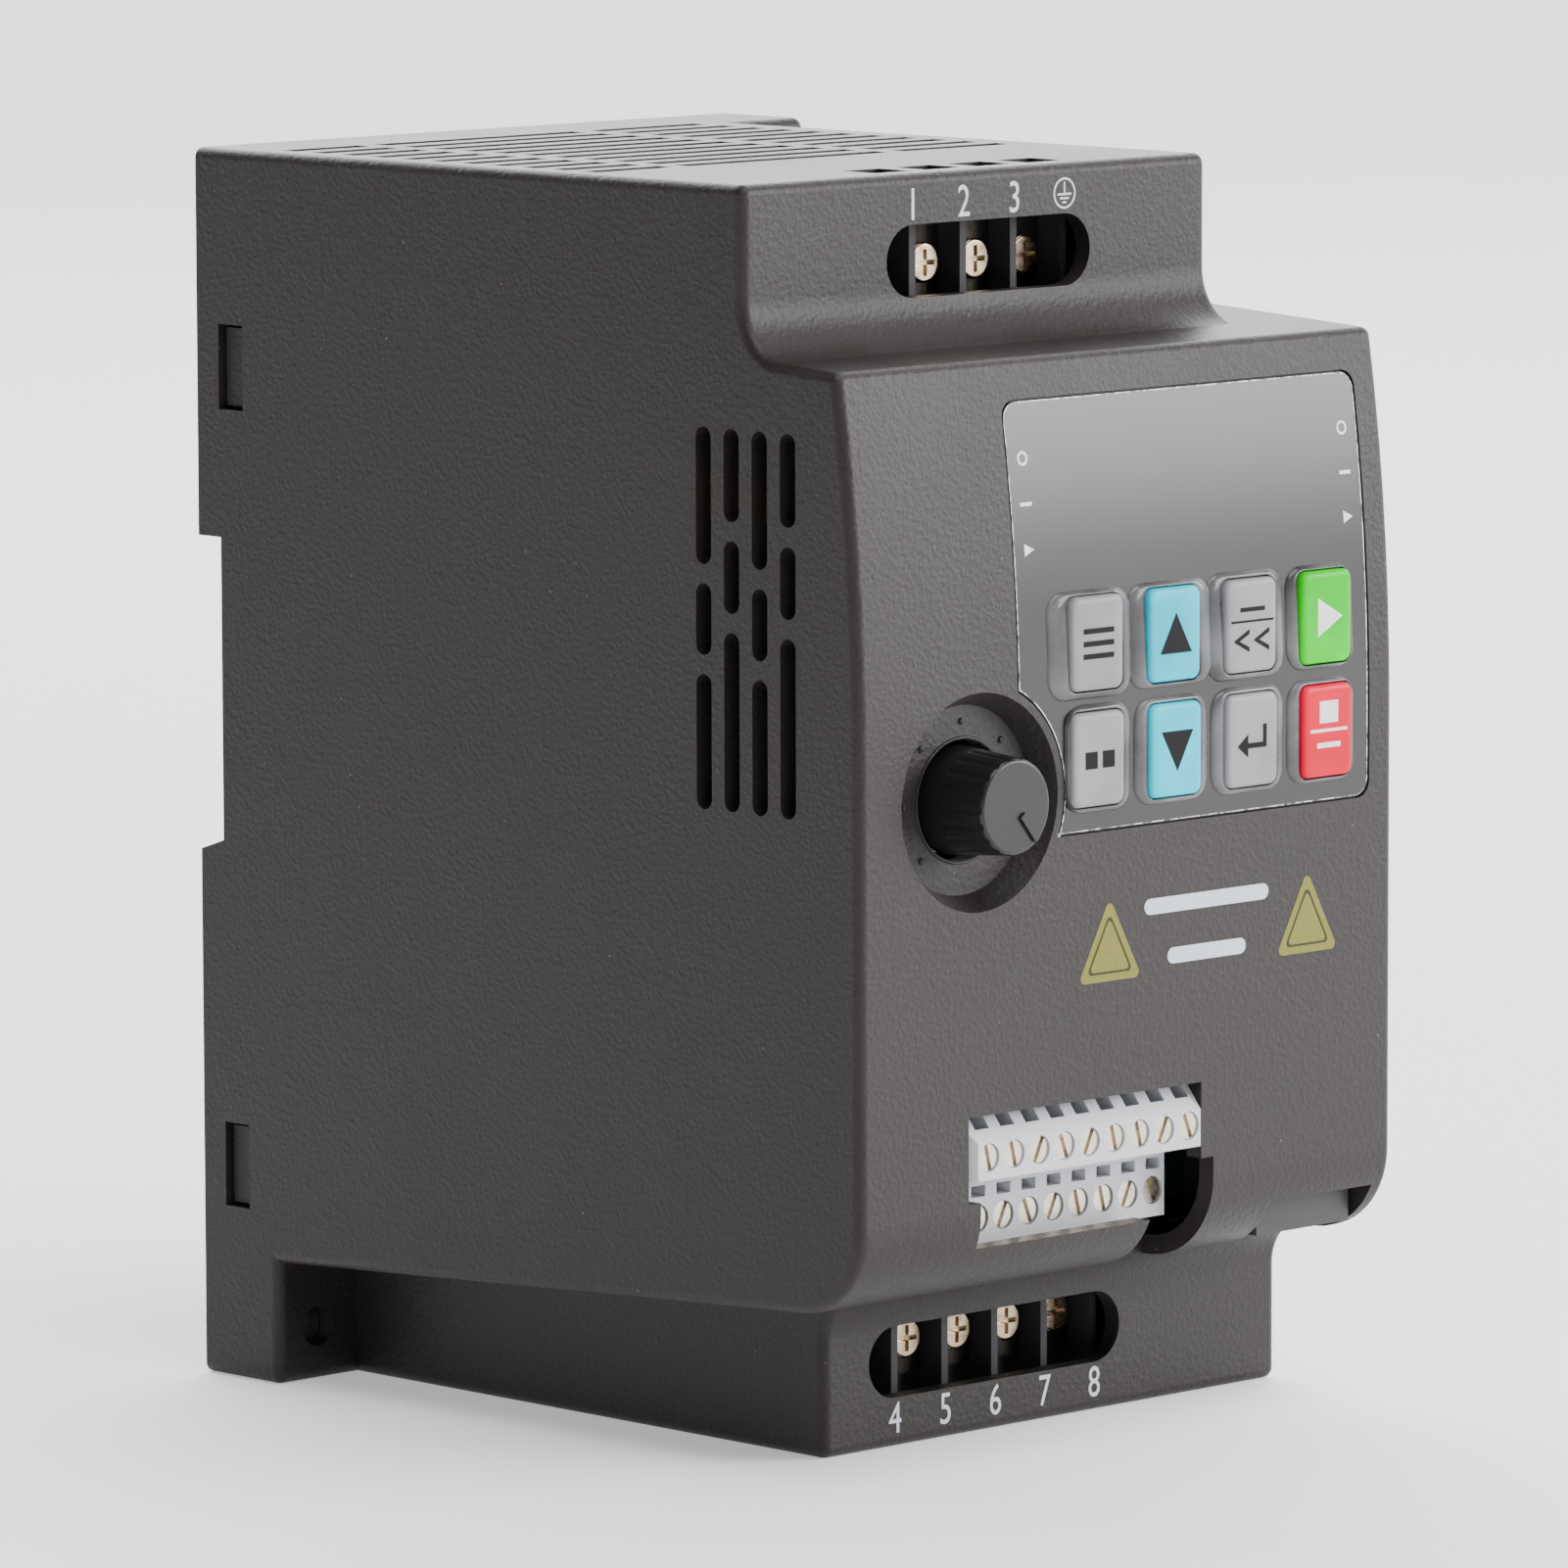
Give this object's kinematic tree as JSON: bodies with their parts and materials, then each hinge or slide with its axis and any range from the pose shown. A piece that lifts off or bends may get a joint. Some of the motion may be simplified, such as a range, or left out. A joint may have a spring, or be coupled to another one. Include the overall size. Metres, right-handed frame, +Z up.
{
  "type": "variable frequency drive",
  "caption": "Compact stepped motor drive with keypad, speed knob, screw terminals, vented housing and a rail-mount base.",
  "frame": {"origin": "centre of the bounding box in plan, at the base", "axes": "+X to the right seen from the front, -Y out of the keypad face, +Z up"},
  "size_m": [0.085, 0.1138, 0.142],
  "materials": {
    "housing_plastic": "fine-textured charcoal moulding",
    "base_plastic": "fine-textured charcoal moulding",
    "latch_plastic": "plain black moulding",
    "sink_aluminium": "extruded, mill finish",
    "screw_steel": "zinc-plated",
    "fan_plastic": "glass-filled black moulding",
    "overlay_film": "gloss printed film",
    "key_grey": "gloss printed film over a key",
    "key_blue": "gloss printed film over a key",
    "key_green": "gloss printed film over a key",
    "key_red": "gloss printed film over a key",
    "switch_plastic": "moulded",
    "knob_plastic": "satin black moulding",
    "shaft_nylon": "white moulding",
    "pot_metal": "pressed",
    "display_plastic": "dark smoked lens",
    "led_lens": "tinted lens",
    "board_laminate": "green solder mask",
    "spacer_brass": "turned",
    "terminal_black": "moulded",
    "clamp_nickel": "warm nickel plate",
    "terminal_grey": "moulded pale grey",
    "jack_plastic": "moulded",
    "capacitor_sleeve": "shrink sleeve",
    "module_resin": "moulded resin",
    "relay_plastic": "moulded",
    "transformer_ferrite": "sintered ferrite",
    "choke_copper": "enamelled wire",
    "connector_black": "moulded"
  },
  "bodies": {
    "drive": {"housing": "housing_plastic", "rear_base": "base_plastic", "heatsink": "sink_aluminium", "heatsink_screws": "screw_steel", "fan_frame": "fan_plastic", "keypad_overlay": "overlay_film", "tact_switches": "switch_plastic", "potentiometer": "pot_metal", "display_module": "display_plastic", "indicator_leds": "led_lens", "keypad_board": "board_laminate", "keypad_screws": "screw_steel", "control_board": "board_laminate", "control_board_screws": "screw_steel", "power_board": "board_laminate", "control_spacers": "spacer_brass", "power_spacers": "spacer_brass", "input_terminal_block": "terminal_black", "output_terminal_block": "terminal_black", "input_clamp_plates": "clamp_nickel", "output_clamp_plates": "clamp_nickel", "input_terminal_screws": "clamp_nickel", "output_terminal_screws": "clamp_nickel", "control_terminal_upper": "terminal_grey", "control_terminal_lower": "terminal_grey", "upper_clamp_screws": "clamp_nickel", "lower_clamp_screws": "clamp_nickel", "comm_jack": "jack_plastic", "dc_capacitors": "capacitor_sleeve", "power_module": "module_resin", "rectifier_bridge": "module_resin", "precharge_relay": "relay_plastic", "supply_transformer": "transformer_ferrite", "filter_choke": "choke_copper", "control_processor": "module_resin", "board_link": "connector_black", "power_link": "connector_black"},
    "knob": {"speed_knob": "knob_plastic", "pot_shaft": "shaft_nylon"},
    "rail_latch": {"din_latch": "latch_plastic"},
    "fan_wheel": {"fan_rotor": "fan_plastic"},
    "function_button": {"function_key": "key_grey"},
    "down_button": {"down_key": "key_blue"},
    "enter_button": {"enter_key": "key_grey"},
    "stop_button": {"stop_key": "key_red"},
    "menu_button": {"menu_key": "key_grey"},
    "up_button": {"up_key": "key_blue"},
    "shift_button": {"shift_key": "key_grey"},
    "run_button": {"run_key": "key_green"}
  },
  "joints": [
    {"name": "knob_turn", "type": "hinge", "parent": "drive", "child": "knob", "pos_m": [-0.024, -0.05105, 0.0745], "axis": [0, -1, 0], "range_deg": [-9, 291]},
    {"name": "latch_slide", "type": "slide", "parent": "drive", "child": "rail_latch", "axis": [0, 0, -1], "range_m": [0, 0.003], "stiffness_N_per_m": 600},
    {"name": "fan_spin", "type": "hinge", "parent": "drive", "child": "fan_wheel", "pos_m": [0, 0.02745, 0.007], "axis": [0, 0, 1], "continuous": true},
    {"name": "function_press", "type": "slide", "parent": "drive", "child": "function_button", "axis": [0, 1, 0], "range_m": [0, 0.00035], "stiffness_N_per_m": 1500},
    {"name": "down_press", "type": "slide", "parent": "drive", "child": "down_button", "axis": [0, 1, 0], "range_m": [0, 0.00035], "stiffness_N_per_m": 1500},
    {"name": "enter_press", "type": "slide", "parent": "drive", "child": "enter_button", "axis": [0, 1, 0], "range_m": [0, 0.00035], "stiffness_N_per_m": 1500},
    {"name": "stop_press", "type": "slide", "parent": "drive", "child": "stop_button", "axis": [0, 1, 0], "range_m": [0, 0.00035], "stiffness_N_per_m": 1500},
    {"name": "menu_press", "type": "slide", "parent": "drive", "child": "menu_button", "axis": [0, 1, 0], "range_m": [0, 0.00035], "stiffness_N_per_m": 1500},
    {"name": "up_press", "type": "slide", "parent": "drive", "child": "up_button", "axis": [0, 1, 0], "range_m": [0, 0.00035], "stiffness_N_per_m": 1500},
    {"name": "shift_press", "type": "slide", "parent": "drive", "child": "shift_button", "axis": [0, 1, 0], "range_m": [0, 0.00035], "stiffness_N_per_m": 1500},
    {"name": "run_press", "type": "slide", "parent": "drive", "child": "run_button", "axis": [0, 1, 0], "range_m": [0, 0.00035], "stiffness_N_per_m": 1500}
  ]
}
